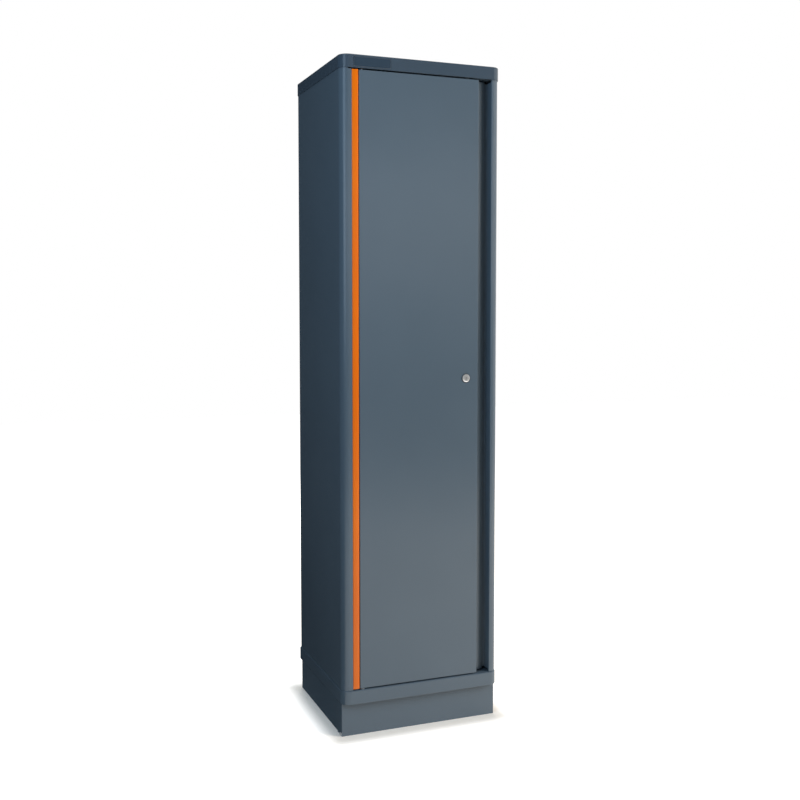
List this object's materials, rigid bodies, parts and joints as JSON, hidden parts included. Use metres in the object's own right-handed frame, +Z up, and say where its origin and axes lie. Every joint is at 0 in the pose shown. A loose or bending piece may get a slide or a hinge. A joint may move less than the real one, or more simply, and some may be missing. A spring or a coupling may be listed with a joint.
{
  "type": "tool chest side locker",
  "caption": "Tall sheet-steel workshop locker on a plinth, with a key-locked door, a full-height finger pull and adjustable shelves.",
  "frame": {"origin": "on the floor under the middle of the cap and base tray", "axes": "+Z up, +X to the right seen from the front, the front faces -Y"},
  "size_m": [0.51, 0.455, 2],
  "materials": {
    "grey_paint": "satin blue-grey powder coat",
    "orange_paint": "satin orange coat",
    "zinc": "zinc plated",
    "chrome": "polished chrome",
    "black_plastic": "matt black",
    "nylon": "black nylon",
    "rubber": "matt rubber"
  },
  "bodies": {
    "carcass": {"back_panel": "grey_paint", "base_tray": "grey_paint", "ceiling_panel": "grey_paint", "left_front_upright": "zinc", "left_rear_upright": "zinc", "left_wall": "grey_paint", "lower_magnet": "black_plastic", "lower_pivot_pin": "zinc", "plinth_back": "grey_paint", "plinth_front": "grey_paint", "plinth_left": "grey_paint", "plinth_right": "grey_paint", "right_front_upright": "zinc", "right_rear_upright": "zinc", "right_wall": "grey_paint", "shelf_1": "grey_paint", "shelf_1_clip_left_front": "zinc", "shelf_1_clip_left_rear": "zinc", "shelf_1_clip_right_front": "zinc", "shelf_1_clip_right_rear": "zinc", "shelf_2": "grey_paint", "shelf_2_clip_left_front": "zinc", "shelf_2_clip_left_rear": "zinc", "shelf_2_clip_right_front": "zinc", "shelf_2_clip_right_rear": "zinc", "shelf_3": "grey_paint", "shelf_3_clip_left_front": "zinc", "shelf_3_clip_left_rear": "zinc", "shelf_3_clip_right_front": "zinc", "shelf_3_clip_right_rear": "zinc", "shelf_4": "grey_paint", "shelf_4_clip_left_front": "zinc", "shelf_4_clip_left_rear": "zinc", "shelf_4_clip_right_front": "zinc", "shelf_4_clip_right_rear": "zinc", "top_cap": "grey_paint", "trim_strip": "orange_paint", "upper_magnet": "black_plastic", "upper_pivot_bush": "nylon"},
    "door": {"door_skin": "grey_paint", "door_stiffener": "grey_paint", "upper_pivot_pin": "zinc", "lower_pivot_bush": "nylon", "upper_buffer": "rubber", "lower_buffer": "rubber", "lock_escutcheon": "black_plastic", "lock_body": "chrome", "lock_nut": "zinc", "upper_guide_near": "zinc", "upper_guide_far": "zinc", "lower_guide_near": "zinc", "lower_guide_far": "zinc"},
    "lock_cylinder": {"lock_barrel": "chrome", "lock_cam": "zinc", "lock_spacer": "zinc", "lock_tongue": "zinc", "lock_screw": "zinc"},
    "upper_rod": {"upper_rod": "zinc"},
    "lower_rod": {"lower_rod": "zinc"}
  },
  "joints": [
    {"name": "door_hinge", "type": "hinge", "parent": "carcass", "child": "door", "pos_m": [-0.1887, -0.2175, 1.05], "axis": [0, 0, -1], "range_deg": [0, 110]},
    {"name": "lock_turn", "type": "hinge", "parent": "door", "child": "lock_cylinder", "pos_m": [0.143, -0.2235, 1.062], "axis": [0, -1, 0], "range_deg": [0, 90]},
    {"name": "upper_rod_slide", "type": "slide", "parent": "door", "child": "upper_rod", "axis": [0, 0, 1], "range_m": [0, 0.02404]},
    {"name": "lower_rod_slide", "type": "slide", "parent": "door", "child": "lower_rod", "axis": [0, 0, -1], "range_m": [0, 0.0241]}
  ],
  "couplings": [
    {"joint": "lock_turn", "follows": "upper_rod_slide", "rad_per_m": 65.336},
    {"joint": "lower_rod_slide", "follows": "upper_rod_slide", "ratio": 1}
  ]
}
